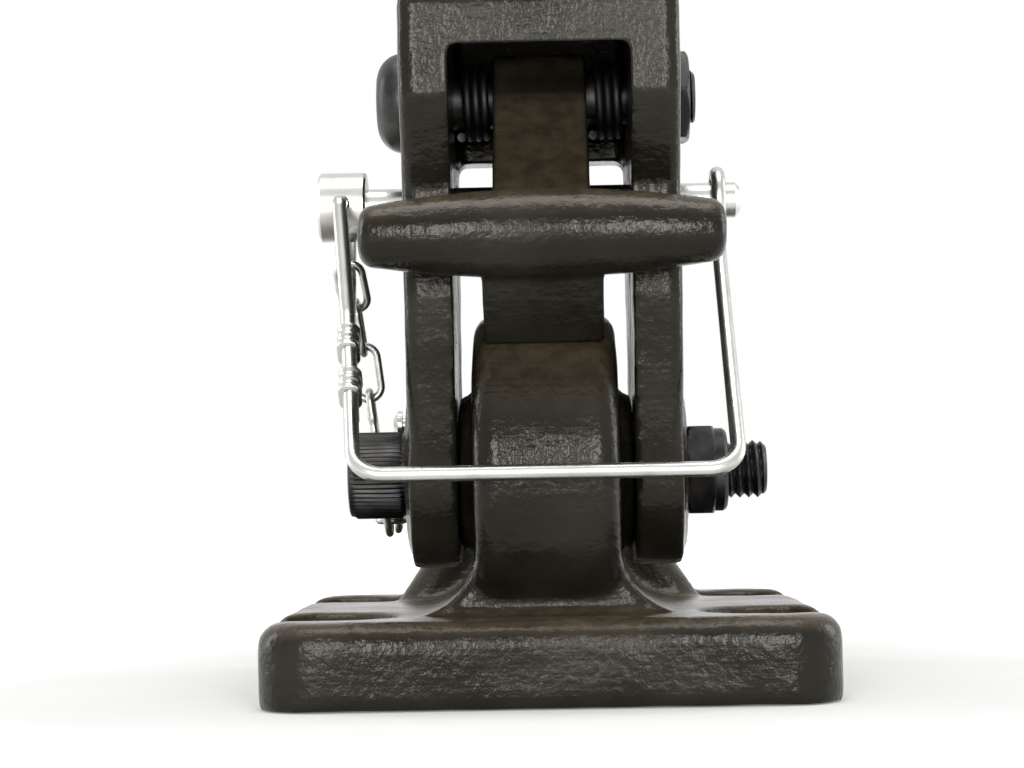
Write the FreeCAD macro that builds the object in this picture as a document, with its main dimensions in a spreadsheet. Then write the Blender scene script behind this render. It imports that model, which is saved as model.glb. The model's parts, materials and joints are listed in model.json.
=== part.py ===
import FreeCAD, Part
import math
import os
import re
import Sketcher

# Pintle ball combination hitch, standing on its mounting plate. Millimetres.
# Origin: centre of the mounting face. +Z leaves the plate, -Y is the latch side, +Y the ball side.

doc = FreeCAD.newDocument("PintleBallHitch")
sheet = doc.addObject("Spreadsheet::Sheet", "Sizes")

SIZES = [
    ("plate_width", 121.0, "mounting plate, across"),
    ("plate_depth", 133.0, "mounting plate, latch side to ball side"),
    ("plate_thick", 18.0, "mounting plate"),
    ("plate_corner", 12.0, "plate corner radius"),
    ("plate_edge", 5.0, "rounding of the plate's upper edge"),
    ("bolt_inset_x", 12.9, "bolt holes from the plate's sides"),
    ("bolt_inset_y", 28.4, "bolt holes from the plate's front and back"),
    ("bolt_pitch_x", "=plate_width - 2 * bolt_inset_x", "bolt holes, across"),
    ("bolt_pitch_y", "=plate_depth - 2 * bolt_inset_y", "bolt holes, latch side to ball side"),
    ("bolt_hole_dia", 16.7, "clearance for a 5/8 in bolt"),
    ("spot_dia", 30.0, "spot face round each bolt hole"),
    ("spot_depth", 3.0, "spot face below the plate's top"),
    ("pivot_y", -23.5, "jaw pivot"),
    ("pivot_z", 48.0, "jaw pivot above the mounting face"),
    ("lug_width", 31.0, "pivot lug, across"),
    ("lug_round", 35.0, "lug nose about the pivot"),
    ("lug_foot_y", -47.0, "front of the lug's foot"),
    ("lug_back_y", 8.0, "back of the lug's foot"),
    ("lug_edge", 5.0, "rounding of the lug's nose"),
    ("foot_blend", 14.0, "hollow blend between lug and plate"),
    ("lug_boss_dia", 34.0, "thrust boss on each side of the lug"),
    ("side_play", 0.1, "play between jaw and thrust boss"),
    ("horn_foot_half", 44.0, "half-width of the horn at the plate"),
    ("horn_foot_y", 18.0, "throat side of the horn's foot"),
    ("horn_waist_half", 11.5, "half-width of the horn's waist"),
    ("horn_waist_z", 84.0, "where the horn's waist begins"),
    ("horn_back_y", 60.0, "outer side of the horn"),
    ("horn_throat_y", 41.0, "throat side of the horn's waist"),
    ("horn_corner", 6.0, "rounding of the horn's section"),
    ("horn_edge", 4.0, "rounding of the horn's seat"),
    ("ball_dia", 50.8, "2 in ball"),
    ("ball_y", 23.0, "ball centre"),
    ("ball_z", 150.0, "ball centre above the mounting face"),
    ("ball_flat_dia", 22.0, "flat on the ball's crown"),
    ("ball_neck_dia", 30.0, "neck under the ball"),
    ("ball_shank_dia", 25.4, "1 in shank through the horn"),
    ("seat_dia", 50.0, "round seat at the horn's end"),
    ("seat_y", 46.0, "face that the ball stands on"),
    ("seat_back_y", 62.0, "outer side of the seat"),
    ("ball_room", 1.2, "gap between the ball and the closed jaw"),
    ("arm_gap", 38.0, "between the jaw's arms"),
    ("arm_thick", 10.5, "jaw arm"),
    ("arm_end_round", 20.5, "arm end about the pivot"),
    ("arm_front_y", -51.0, "front edge of the arms behind the handle"),
    ("bridge_front_y", -60.0, "front of the bridge"),
    ("window_top_z", 137.0, "front edge of the bridge over the latch"),
    ("web_z", 119.0, "lower edge of the web over the ball"),
    ("web_y", -7.0, "web face behind the latch"),
    ("nose_z", 189.0, "top of the jaw's nose"),
    ("nose_half", 19.0, "half-width of the nose"),
    ("nose_taper_z", 146.0, "where the bridge starts to narrow"),
    ("nose_sweep", 70.0, "sweep of the bridge into the nose"),
    ("jaw_edge", 3.0, "rounding of the jaw's outer edges"),
    ("jaw_pad_dia", 33.0, "raised pad round the pivot on each arm"),
    ("jaw_pad_high", 1.0, "height of that pad"),
    ("bolt_dia", 12.7, "1/2 in pivot bolts"),
    ("run_play", 0.05, "radial running play on bolts and pin"),
    ("cap_head_dia", 19.05, "socket head of the jaw pivot bolt"),
    ("cap_head_high", 12.7, "height of that head"),
    ("socket_flats", 9.53, "hex socket across flats"),
    ("socket_deep", 6.0, "hex socket"),
    ("button_dia", 22.2, "button head of the latch bolt"),
    ("button_high", 6.7, "height of that head"),
    ("button_dome", 8.0, "radius of that head's dome"),
    ("button_socket", 7.94, "hex socket of the button head"),
    ("nut_flats", 19.05, "nuts across flats"),
    ("nut_high", 6.2, "hex part of the jaw pivot nut"),
    ("collar_high", 2.8, "collar of that nut"),
    ("collar_dia", 18.2, "collar of that nut"),
    ("insert_dia", 15.6, "nylon ring in that collar"),
    ("thin_nut_high", 3.6, "nut on the latch bolt"),
    ("bolt_chamfer", 1.0, "chamfer on bolts and pin"),
    ("pivot_tail", 8.6, "thread past the jaw pivot nut"),
    ("latch_tail", 1.4, "thread past the latch nut"),
    ("latch_y", -20.0, "latch pivot"),
    ("latch_z", 131.0, "latch pivot above the mounting face"),
    ("latch_width", 20.6, "latch stem, across"),
    ("hub_round", 10.2, "latch hub about its bolt"),
    ("hub_room", 8.0, "space over the latch hub"),
    ("slot_wall", 3.2, "wall behind the pin slot"),
    ("toe_width", 25.4, "latch neck and toe, across"),
    ("toe_play", 0.5, "gap between toe and lug"),
    ("handle_y", -62.0, "T-handle"),
    ("handle_z", 97.0, "T-handle above the mounting face"),
    ("handle_half", 37.8, "half-length of the T-handle"),
    ("handle_dia", 18.4, "T-handle at its middle"),
    ("handle_end_dia", 13.2, "T-handle at its ends"),
    ("handle_round", 3.5, "rounding of the handle's ends"),
    ("lift_angle", 10.0, "travel of the latch, degrees"),
    ("pin_y", -14.0, "lock pin"),
    ("pin_z", 108.6, "lock pin above the mounting face"),
    ("pin_dia", 7.94, "5/16 in lock pin"),
    ("pin_head_dia", 15.6, "pin head"),
    ("pin_head_x", -39.3, "inner end of the pin's head"),
    ("pin_head_long", 10.6, "pin head"),
    ("pin_tip_x", 44.5, "end of the pin"),
    ("slot_play", 0.35, "radial gap between pin and latch slot"),
    ("wire_dia", 3.2, "bail wire"),
    ("wire_play", 0.3, "gap between the wire and the pin's cross hole"),
    ("bail_half", 39.6, "bail legs, half-distance at the bottom run"),
    ("bail_y", -62.5, "bail's bottom run, in front of the lug"),
    ("bail_z", 48.0, "bail's bottom run"),
    ("bail_bend", 6.5, "bend radius of the bail's corners"),
    ("loop_front", 5.0, "wire in front of the pin's head"),
    ("loop_back", 9.0, "wire behind the pin's head"),
    ("loop_bend", 2.6, "bend of the wire at the pin's head"),
    ("strand_play", 0.15, "gap between the two strands"),
    ("eye_angle", 300.0, "turn of the eye round the pin, degrees"),
    ("eye_play", 0.45, "gap between the bail's eye and the pin"),
    ("ferrule_long", 6.0, "crimped sleeve"),
    ("ferrule_wall", 0.9, "crimped sleeve"),
    ("ferrule_one_z", 77.3, "upper sleeve"),
    ("ferrule_two_z", 67.6, "lower sleeve"),
    ("link_wire", 1.7, "chain wire"),
    ("link_inner_long", 10.5, "chain link, inside length"),
    ("link_inner_wide", 4.0, "chain link, inside width"),
    ("link_play", 0.1, "gap between one link and the next"),
    ("anchor_head_dia", 7.0, "head of the chain anchor"),
    ("anchor_neck_dia", 3.6, "neck of the chain anchor"),
    ("anchor_neck_long", 3.2, "neck of the chain anchor"),
    ("anchor_head_high", 2.0, "head of the chain anchor"),
    ("spring_wire", 2.0, "latch spring wire"),
    ("spring_turns", 3.0, "turns in each coil of the latch spring"),
    ("spring_play", 0.5, "gap between spring and bolt"),
]

HORN_STEPS = 4

# The tether chain's own hang: each link's heading in degrees, from straight down towards the ball
HUNG_SHARE = 0.55
CHAIN_HEADINGS = [35, 13, 3, 1, -2, 20, 92, 175, 208, 251]
TOE_FRONT_SHARE = 0.64
TOE_BACK_SHARE = 0.1
V = FreeCAD.Vector


def add_size(alias, number, note):
    row = len(sheet.getUsedCells()) // 2 + 1
    sheet.set("A%d" % row, note)
    sheet.set("B%d" % row, str(number))
    sheet.setAlias("B%d" % row, alias)
    doc.recompute()


for alias, number, note in SIZES:
    add_size(alias, number, note)


def size(expression):
    """Number that an expression of sheet aliases gives."""
    return float(sheet.evalExpression(expression))


def bound(expression):
    """The same expression as another object writes it, with the sheet's name before each alias."""
    return re.sub(r"[a-z]+(?:_[a-z]+)+", r"Sizes.\g<0>", expression)


def bind(obj, **expressions):
    for name, expression in expressions.items():
        obj.setExpression(name.replace("__", "."), bound(expression))
    return obj


def new_body(label):
    body = doc.addObject("PartDesign::Body", "Body_" + label)
    body.Label = label
    return body


def plane_sketch(body, role, name, height=None, across=None, up=None):
    """Sketch on one of the body's origin planes, moved along its normal and in its plane."""
    sketch = body.newObject("Sketcher::SketchObject", name)
    plane = [feature for feature in body.Origin.OriginFeatures if feature.Role == role][0]
    sketch.AttachmentSupport = (plane, [""])
    sketch.MapMode = "FlatFace"
    for direction, expression in (("x", across), ("y", up), ("z", height)):
        if expression:
            sketch.setExpression("AttachmentOffset.Base." + direction, bound(expression))
    return sketch


def pin_point(sketch, geometry, end, across, up):
    """Ties one end of an edge to its two coordinates."""
    for kind, expression, axis in (("DistanceX", across, -2), ("DistanceY", up, -1)):
        if abs(size(expression)) < 1e-9:
            sketch.addConstraint(Sketcher.Constraint("PointOnObject", geometry, end, axis))
            continue
        index = sketch.addConstraint(Sketcher.Constraint(kind, -1, 1, geometry, end, size(expression)))
        sketch.setExpression("Constraints[%d]" % index, bound(expression))


def draw_outline(sketch, corners):
    """Closed outline. A third entry is the radius of an arc to the next corner, with its centre on the
    left of the way there if positive and on the right if negative."""
    points = [V(size(corner[0]), size(corner[1]), 0) for corner in corners]
    starts = []
    ends = []
    for index, corner in enumerate(corners):
        here = points[index]
        there = points[(index + 1) % len(points)]
        if len(corner) == 2:
            edge = sketch.addGeometry(Part.LineSegment(here, there), False)
            starts.append((edge, 1))
            ends.append((edge, 2))
            continue
        radius = size(corner[2])
        chord = there - here
        reach = math.sqrt(radius ** 2 - (chord.Length / 2) ** 2)
        left = V(-chord.y, chord.x, 0).normalize()
        centre = here + chord * 0.5 + left * math.copysign(reach, radius)
        first, last = (here, there) if radius > 0 else (there, here)
        from_angle = math.atan2(first.y - centre.y, first.x - centre.x)
        to_angle = math.atan2(last.y - centre.y, last.x - centre.x)
        circle = Part.Circle(centre, V(0, 0, 1), abs(radius))
        edge = sketch.addGeometry(Part.ArcOfCircle(circle, from_angle, to_angle), False)
        starts.append((edge, 1 if radius > 0 else 2))
        ends.append((edge, 2 if radius > 0 else 1))
        held = sketch.addConstraint(Sketcher.Constraint("Radius", edge, abs(radius)))
        expression = corner[2] if radius > 0 else "-(%s)" % corner[2]
        sketch.setExpression("Constraints[%d]" % held, bound(expression))
    for index, corner in enumerate(corners):
        edge, end = starts[index]
        before, before_end = ends[index - 1]
        sketch.addConstraint(Sketcher.Constraint("Coincident", before, before_end, edge, end))
        pin_point(sketch, edge, end, corner[0], corner[1])


def draw_circle(sketch, across, up, diameter):
    centre = V(size(across), size(up), 0)
    edge = sketch.addGeometry(Part.Circle(centre, V(0, 0, 1), size(diameter) / 2), False)
    pin_point(sketch, edge, 3, across, up)
    held = sketch.addConstraint(Sketcher.Constraint("Diameter", edge, size(diameter)))
    sketch.setExpression("Constraints[%d]" % held, bound(diameter))


def pad(body, sketch, length, symmetric=True, reverse=False):
    feature = body.newObject("PartDesign::Pad", "Pad_" + sketch.Name)
    feature.Profile = sketch
    feature.Reversed = reverse
    feature.SideType = "Symmetric" if symmetric else "One side"
    bind(feature, Length=length)
    doc.recompute()
    return feature


def pocket(body, sketch, length, symmetric=True, reverse=False):
    before = body.Shape.Volume
    feature = body.newObject("PartDesign::Pocket", "Pocket_" + sketch.Name)
    feature.Profile = sketch
    feature.SideType = "Symmetric" if symmetric else "One side"
    feature.Reversed = reverse
    bind(feature, Length=length)
    doc.recompute()
    if body.Shape.Volume >= before:
        raise RuntimeError("nothing cut by " + sketch.Name)
    return feature


def revolve(body, sketch, axis="H_Axis"):
    feature = body.newObject("PartDesign::Revolution", "Turn_" + sketch.Name)
    feature.Profile = sketch
    feature.ReferenceAxis = (sketch, [axis])
    feature.Angle = 360.0
    doc.recompute()
    return feature


def round_edges(body, radius, chosen):
    """Rounds the edges of the body's present shape that the test picks."""
    base = body.Tip
    names = ["Edge%d" % (i + 1) for i, edge in enumerate(base.Shape.Edges) if chosen(edge)]
    if not names:
        raise RuntimeError("no edge to round on " + body.Label)
    feature = body.newObject("PartDesign::Fillet", "Round_%s_%d" % (body.Name, len(body.Group)))
    feature.Base = (base, names)
    bind(feature, Radius=radius)
    doc.recompute()
    return feature


def near(first, second):
    return abs(first - second) < 0.01


def spans(edge, axis):
    box = edge.BoundBox
    return {"x": box.XLength, "y": box.YLength, "z": box.ZLength}[axis]


def mirrored(corners):
    """The same outline on the other side of the middle plane."""
    flipped = []
    for corner in corners:
        entry = ["-(%s)" % corner[0], corner[1]]
        if len(corner) == 3:
            entry.append("-(%s)" % corner[2])
        flipped.append(tuple(entry))
    return flipped


def turned(label, at_y, at_z, corners):
    """Piece turned about an axis along X; corners are places along X and radii."""
    body = new_body(label)
    sketch = plane_sketch(body, "XY_Plane", "Profile_" + label, at_z, None, at_y)
    draw_outline(sketch, corners)
    revolve(body, sketch)
    return body


def bore(body, at_y, at_z, diameter):
    """Hole along X right through the body."""
    sketch = plane_sketch(body, "YZ_Plane", "Bore_%s_%d" % (body.Name, len(body.Group)))
    draw_circle(sketch, at_y, at_z, diameter)
    pocket(body, sketch, "4 * plate_width")


def hexagon(body, name, from_x, at_y, at_z, flats):
    """Hexagon across an axis along X, with two corners up and down."""
    sketch = plane_sketch(body, "YZ_Plane", name, from_x, at_y, at_z)
    flat = "(%s) / 2" % flats
    side = "(%s) / (2 * sqrt(3))" % flats
    point = "(%s) / sqrt(3)" % flats
    draw_outline(sketch, [
        (flat, "-" + side),
        (flat, side),
        ("0", point),
        ("-" + flat, side),
        ("-" + flat, "-" + side),
        ("0", "-" + point),
    ])
    return sketch


def rounded_rectangle(sketch, left, right, low, high, radius):
    draw_outline(sketch, [
        ("%s + %s" % (left, radius), low),
        ("%s - %s" % (right, radius), low, radius),
        (right, "%s + %s" % (low, radius)),
        (right, "%s - %s" % (high, radius), radius),
        ("%s - %s" % (right, radius), high),
        ("%s + %s" % (left, radius), high, radius),
        (left, "%s - %s" % (high, radius)),
        (left, "%s + %s" % (low, radius), radius),
    ])


def horn_section(body, name, half, throat, height):
    sketch = plane_sketch(body, "XY_Plane", name, height)
    rounded_rectangle(sketch, "-(%s)" % half, half, throat, "horn_back_y", "horn_corner")
    return sketch


def bolt_circles(body, name, diameter, from_z, depth):
    """Cuts the same circle downwards at all four bolt places."""
    sketch = plane_sketch(body, "XY_Plane", name, from_z)
    for across in ("-bolt_pitch_x / 2", "bolt_pitch_x / 2"):
        for along in ("-bolt_pitch_y / 2", "bolt_pitch_y / 2"):
            draw_circle(sketch, across, along, diameter)
    pocket(body, sketch, depth, symmetric=False)


def make_mounting_forging():
    body = new_body("mounting_forging")
    # Mounting plate with a round upper edge
    plate = plane_sketch(body, "XY_Plane", "Plate")
    half_x = "plate_width / 2"
    half_y = "plate_depth / 2"
    rounded_rectangle(plate, "-" + half_x, half_x, "-" + half_y, half_y, "plate_corner")
    pad(body, plate, "plate_thick", symmetric=False)
    top = size("plate_thick")
    round_edges(body, "plate_edge", lambda edge: near(edge.BoundBox.ZMin, top) and spans(edge, "z") < 0.01)

    # Horn: rounded sections that sweep in from a broad foot to a slim waist
    sections = []
    for step in range(HORN_STEPS + 1):
        share = step / HORN_STEPS
        spread = (1 - share) ** 2
        half = "horn_waist_half + (horn_foot_half - horn_waist_half) * %.4f" % spread
        throat = "horn_throat_y - (horn_throat_y - horn_foot_y) * %.4f" % spread
        height = "plate_thick / 2 + (horn_waist_z - plate_thick / 2) * %.4f" % share
        sections.append(horn_section(body, "HornSection%d" % step, half, throat, height))
    loft = body.newObject("PartDesign::AdditiveLoft", "HornFoot")
    loft.Profile = sections[0]
    loft.Sections = sections[1:]
    doc.recompute()
    waist = horn_section(body, "HornWaist", "horn_waist_half", "horn_throat_y", "horn_waist_z")
    pad(body, waist, "ball_z - seat_dia / 2 + horn_corner - horn_waist_z", symmetric=False)

    # Round seat under the ball, turned about the ball's axis
    seat = plane_sketch(body, "XY_Plane", "Seat", "ball_z")
    draw_outline(seat, [
        ("0", "seat_y"),
        ("seat_dia / 2", "seat_y"),
        ("seat_dia / 2", "seat_back_y - horn_edge", "horn_edge"),
        ("seat_dia / 2 - horn_edge", "seat_back_y"),
        ("0", "seat_back_y"),
    ])
    revolve(body, seat, "V_Axis")

    # Pivot lug: a round-edged disc about the jaw pivot on a straight foot
    disc = plane_sketch(body, "XY_Plane", "LugDisc", "pivot_z", None, "pivot_y")
    inner = "lug_width / 2 - lug_edge"
    draw_outline(disc, [
        ("-lug_width / 2", "0"),
        ("lug_width / 2", "0"),
        ("lug_width / 2", "lug_round - lug_edge", "lug_edge"),
        (inner, "lug_round"),
        ("-(%s)" % inner, "lug_round", "lug_edge"),
        ("-lug_width / 2", "lug_round - lug_edge"),
    ])
    foot = plane_sketch(body, "YZ_Plane", "LugFoot")
    draw_outline(foot, [
        ("lug_foot_y", "plate_thick / 2"),
        ("lug_back_y", "plate_thick / 2"),
        ("lug_back_y", "pivot_z"),
        ("lug_foot_y", "pivot_z"),
    ])
    pad(body, foot, "lug_width")
    revolve(body, disc)

    # Hollow blend from the lug's sides out to the plate
    blend = plane_sketch(body, "XZ_Plane", "FootBlend", "-lug_foot_y")
    reach = "lug_width / 2 + foot_blend"
    draw_outline(blend, [
        ("-(%s)" % reach, "plate_thick / 2"),
        (reach, "plate_thick / 2"),
        (reach, "plate_thick", "-foot_blend"),
        ("lug_width / 2", "plate_thick + foot_blend"),
        ("-lug_width / 2", "plate_thick + foot_blend", "-foot_blend"),
        ("-(%s)" % reach, "plate_thick"),
    ])
    pad(body, blend, "horn_back_y - horn_corner - lug_foot_y", symmetric=False, reverse=True)

    # Thrust boss on each side of the lug, and the bore for the jaw pivot bolt
    boss = plane_sketch(body, "YZ_Plane", "ThrustBoss")
    draw_circle(boss, "pivot_y", "pivot_z", "lug_boss_dia")
    pad(body, boss, "arm_gap - 2 * side_play")
    bore(body, "pivot_y", "pivot_z", "bolt_dia + 2 * run_play")

    # Bolt holes with spot faces, which also clear the blend above them
    bolt_circles(body, "SpotFaces", "spot_dia", "plate_thick + foot_blend", "foot_blend + spot_depth")
    bolt_circles(body, "BoltHoles", "bolt_hole_dia", "plate_thick", "2 * plate_thick")

    # Hole for the ball's shank
    shank = plane_sketch(body, "XZ_Plane", "ShankHole", "side_play - seat_y")
    draw_circle(shank, "0", "ball_z", "ball_shank_dia + 2 * run_play")
    pocket(body, shank, "plate_depth", symmetric=False)
    return body


def make_tow_ball():
    """Ball, neck and shank turned about an axis along Y; corners are radii and places along Y."""
    body = new_body("tow_ball")
    sketch = plane_sketch(body, "XY_Plane", "BallProfile", "ball_z")
    crown = "ball_y - sqrt(ball_dia^2 / 4 - ball_flat_dia^2 / 4)"
    under = "ball_y + sqrt(ball_dia^2 / 4 - ball_neck_dia^2 / 4)"
    draw_outline(sketch, [
        ("0", crown),
        ("ball_flat_dia / 2", crown, "ball_dia / 2"),
        ("ball_dia / 2", "ball_y", "ball_dia / 2"),
        ("ball_neck_dia / 2", under),
        ("ball_neck_dia / 2", "seat_y"),
        ("ball_shank_dia / 2", "seat_y"),
        ("ball_shank_dia / 2", "seat_back_y"),
        ("0", "seat_back_y"),
    ])
    revolve(body, sketch, "V_Axis")
    return body


def make_upper_jaw():
    body = new_body("upper_jaw")
    outer = "(arm_gap / 2 + arm_thick)"
    cup = "(ball_dia / 2 + ball_room)"

    # Side outline: round arm ends, bridge, nose, and the hollow that closes over the ball
    side = plane_sketch(body, "YZ_Plane", "JawSide")
    draw_outline(side, [
        ("pivot_y - arm_end_round", "pivot_z", "arm_end_round"),
        ("pivot_y", "pivot_z - arm_end_round", "arm_end_round"),
        ("pivot_y + arm_end_round", "pivot_z"),
        ("web_y + arm_thick", "web_z - arm_thick"),
        ("ball_y - sqrt(%s^2 - (ball_dia / 4)^2)" % cup, "ball_z - ball_dia / 4", "-%s" % cup),
        ("ball_y - ball_flat_dia / 2", "ball_z + sqrt(%s^2 - ball_flat_dia^2 / 4)" % cup),
        ("ball_y - jaw_edge", "nose_z - 2 * jaw_edge"),
        ("ball_y - 2 * jaw_edge", "nose_z"),
        ("latch_y + hub_round", "nose_z", "nose_sweep"),
        ("bridge_front_y", "nose_taper_z"),
        ("bridge_front_y", "window_top_z - arm_thick"),
        ("arm_front_y", "pin_z"),
        ("arm_front_y", "handle_z - handle_dia / 2 - jaw_edge"),
    ])
    pad(body, side, "2 * " + outer)

    # Narrow nose: both upper corners cut on a slant
    corner = [
        (outer, "nose_taper_z"),
        ("nose_half", "nose_z - arm_thick"),
        ("nose_half", "nose_z + arm_thick"),
        (outer + " + arm_thick", "nose_z + arm_thick"),
        (outer + " + arm_thick", "nose_taper_z"),
    ]
    for name, outline in (("NoseRight", corner), ("NoseLeft", mirrored(corner))):
        sketch = plane_sketch(body, "XZ_Plane", name)
        draw_outline(sketch, outline)
        pocket(body, sketch, "2 * plate_depth")
    face = size(outer)
    behind = size("pivot_y - arm_end_round / 2")
    round_edges(body, "jaw_edge", lambda edge: spans(edge, "x") < 0.01 and near(abs(edge.BoundBox.XMin), face)
                and edge.CenterOfMass.y < behind and edge.CenterOfMass.z > size("pivot_z"))

    # Space between the arms for lug and latch, closed by the web over the ball
    space = plane_sketch(body, "YZ_Plane", "ArmSpace")
    roof = "latch_z + hub_round + hub_room"
    draw_outline(space, [
        ("bridge_front_y - arm_thick", "plate_thick"),
        ("ball_y + ball_dia", "plate_thick"),
        ("ball_y + ball_dia", "web_z"),
        ("web_y", "web_z"),
        ("web_y", roof),
        ("latch_y - hub_round", roof),
        ("bridge_front_y", "window_top_z"),
        ("bridge_front_y - arm_thick", "window_top_z"),
    ])
    pocket(body, space, "arm_gap")

    # Raised pads round the pivot, and the three cross bores
    for name, height, back in (("PadRight", outer, False), ("PadLeft", "-" + outer, True)):
        sketch = plane_sketch(body, "YZ_Plane", name, height)
        draw_circle(sketch, "pivot_y", "pivot_z", "jaw_pad_dia")
        pad(body, sketch, "jaw_pad_high", symmetric=False, reverse=back)
    bore(body, "pivot_y", "pivot_z", "bolt_dia + 2 * run_play")
    bore(body, "latch_y", "latch_z", "bolt_dia + 2 * run_play")
    bore(body, "pin_y", "pin_z", "pin_dia + 2 * run_play")
    return body


def make_latch():
    body = new_body("latch")
    pin_round = "(pin_dia / 2 + slot_play)"
    lift = "(lift_angle * pi / 180)"
    travel_y = "((latch_z - pin_z) * %s)" % lift
    travel_z = "((pin_y - latch_y) * %s)" % lift
    heel = "pin_y + %s + %s + slot_wall" % (travel_y, pin_round)

    # Stem from the hub down to the handle, with a heel behind the pin slot
    stem = plane_sketch(body, "YZ_Plane", "Stem")
    draw_outline(stem, [
        ("arm_front_y", "handle_z - handle_dia / 4"),
        ("latch_y", "handle_z - handle_dia / 4"),
        (heel, "pin_z - pin_dia"),
        (heel, "pin_z + pin_dia / 2"),
        ("latch_y + hub_round", "web_z + slot_wall / 2"),
        ("latch_y + hub_round", "latch_z", "hub_round"),
        ("latch_y", "latch_z + hub_round", "hub_round"),
        ("latch_y - hub_round", "latch_z"),
        ("handle_y + slot_wall", "handle_z + handle_dia / 3"),
    ])
    pad(body, stem, "latch_width")

    # Neck and toe: the toe's end is round about the jaw pivot
    neck = plane_sketch(body, "YZ_Plane", "NeckAndToe")
    toe = "(lug_round + toe_play)"
    toe_front = "pivot_y - %g * %s" % (TOE_FRONT_SHARE, toe)
    toe_back = "pivot_y - %g * %s" % (TOE_BACK_SHARE, toe)
    draw_outline(neck, [
        (toe_front, "pivot_z + sqrt(1 - %g^2) * %s" % (TOE_FRONT_SHARE, toe), "-" + toe),
        (toe_back, "pivot_z + sqrt(1 - %g^2) * %s" % (TOE_BACK_SHARE, toe)),
        ("latch_y - slot_wall", "handle_z"),
        ("arm_front_y + hub_round", "handle_z + handle_dia / 3"),
        ("handle_y", "handle_z + handle_dia / 3"),
        ("handle_y", "handle_z - handle_dia / 4"),
        (toe_front + " - slot_wall", "pivot_z + sqrt(1 - %g^2) * %s + slot_wall" % (TOE_FRONT_SHARE, toe)),
    ])
    pad(body, neck, "toe_width")

    # T-handle: a barrel with round ends
    handle = plane_sketch(body, "XY_Plane", "Handle", "handle_z", None, "handle_y")
    swell = "((handle_dia - handle_end_dia) / 2)"
    straight = "(handle_half - handle_round)"
    barrel = "((%s^2 + %s^2) / (2 * %s))" % (straight, swell, swell)
    draw_outline(handle, [
        ("-handle_half", "0"),
        ("handle_half", "0"),
        ("handle_half", "handle_end_dia / 2 - handle_round", "handle_round"),
        (straight, "handle_end_dia / 2", barrel),
        ("-" + straight, "handle_end_dia / 2", "handle_round"),
        ("-handle_half", "handle_end_dia / 2 - handle_round"),
    ])
    revolve(body, handle)

    # Hub bore, and the slot that lets the latch lift round the lock pin
    bore(body, "latch_y", "latch_z", "bolt_dia + 2 * run_play")
    slot = plane_sketch(body, "YZ_Plane", "PinSlot")
    slot_front = "(pin_y - %s)" % pin_round
    slot_back = "(pin_y + %s + %s)" % (travel_y, pin_round)
    slot_low = "(pin_z - %s)" % pin_round
    slot_high = "(pin_z + %s + %s)" % (travel_z, pin_round)
    rounded_rectangle(slot, slot_front, slot_back, slot_low, slot_high, "(pin_dia / 2)")
    pocket(body, slot, "2 * latch_width")
    return body


def hex_socket(body, name, end_x, at_y, at_z, flats, deep):
    sketch = hexagon(body, name, end_x, at_y, at_z, flats)
    pocket(body, sketch, deep, symmetric=False, reverse=True)


def hex_nut(label, from_x, high, at_y, at_z):
    body = new_body(label)
    sketch = hexagon(body, "Hexagon_" + label, from_x, at_y, at_z, "nut_flats")
    pad(body, sketch, high, symmetric=False)
    return body


def make_jaw_pivot():
    face = "(arm_gap / 2 + arm_thick + jaw_pad_high + side_play)"
    head = "(-%s - cap_head_high)" % face
    nut_end = "(%s + nut_high + collar_high)" % face
    bolt_end = "(%s + pivot_tail)" % nut_end
    bolt = turned("jaw_pivot_bolt", "pivot_y", "pivot_z", [
        (head, "0"),
        (bolt_end, "0"),
        (bolt_end, "bolt_dia / 2 - bolt_chamfer"),
        (bolt_end + " - bolt_chamfer", "bolt_dia / 2"),
        ("-" + face, "bolt_dia / 2"),
        ("-" + face, "cap_head_dia / 2"),
        (head + " + bolt_chamfer", "cap_head_dia / 2"),
        (head, "cap_head_dia / 2 - bolt_chamfer"),
    ])
    hex_socket(bolt, "CapSocket", head, "pivot_y", "pivot_z", "socket_flats", "socket_deep")

    # Nut with a round collar that holds a nylon ring
    nut = hex_nut("jaw_pivot_nut", face, "nut_high", "pivot_y", "pivot_z")
    collar = plane_sketch(nut, "YZ_Plane", "Collar", face + " + nut_high")
    draw_circle(collar, "pivot_y", "pivot_z", "collar_dia")
    pad(nut, collar, "collar_high", symmetric=False)
    recess = plane_sketch(nut, "YZ_Plane", "InsertRecess", nut_end)
    draw_circle(recess, "pivot_y", "pivot_z", "insert_dia")
    pocket(nut, recess, "collar_high", symmetric=False)
    bore(nut, "pivot_y", "pivot_z", "bolt_dia + 2 * run_play")
    insert = turned("jaw_nut_insert", "pivot_y", "pivot_z", [
        (face + " + nut_high", "bolt_dia / 2 + run_play"),
        (nut_end, "bolt_dia / 2 + run_play"),
        (nut_end, "insert_dia / 2"),
        (face + " + nut_high", "insert_dia / 2"),
    ])
    return [bolt, nut, insert]


def make_latch_pivot():
    face = "(arm_gap / 2 + arm_thick)"
    head = "(-%s - button_high)" % face
    bolt_end = "(%s + thin_nut_high + latch_tail)" % face
    crown = "(button_socket / 2 + bolt_chamfer)"
    bolt = turned("latch_pivot_bolt", "latch_y", "latch_z", [
        (head, "0"),
        (bolt_end, "0"),
        (bolt_end, "bolt_dia / 2 - bolt_chamfer"),
        (bolt_end + " - bolt_chamfer", "bolt_dia / 2"),
        ("-" + face, "bolt_dia / 2"),
        ("-" + face, "button_dia / 2", "button_dome"),
        (head, crown),
    ])
    hex_socket(bolt, "ButtonSocket", head, "latch_y", "latch_z", "button_socket", "button_high / 2")
    nut = hex_nut("latch_pivot_nut", face, "thin_nut_high", "latch_y", "latch_z")
    bore(nut, "latch_y", "latch_z", "bolt_dia + 2 * run_play")
    return [bolt, nut]


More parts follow.
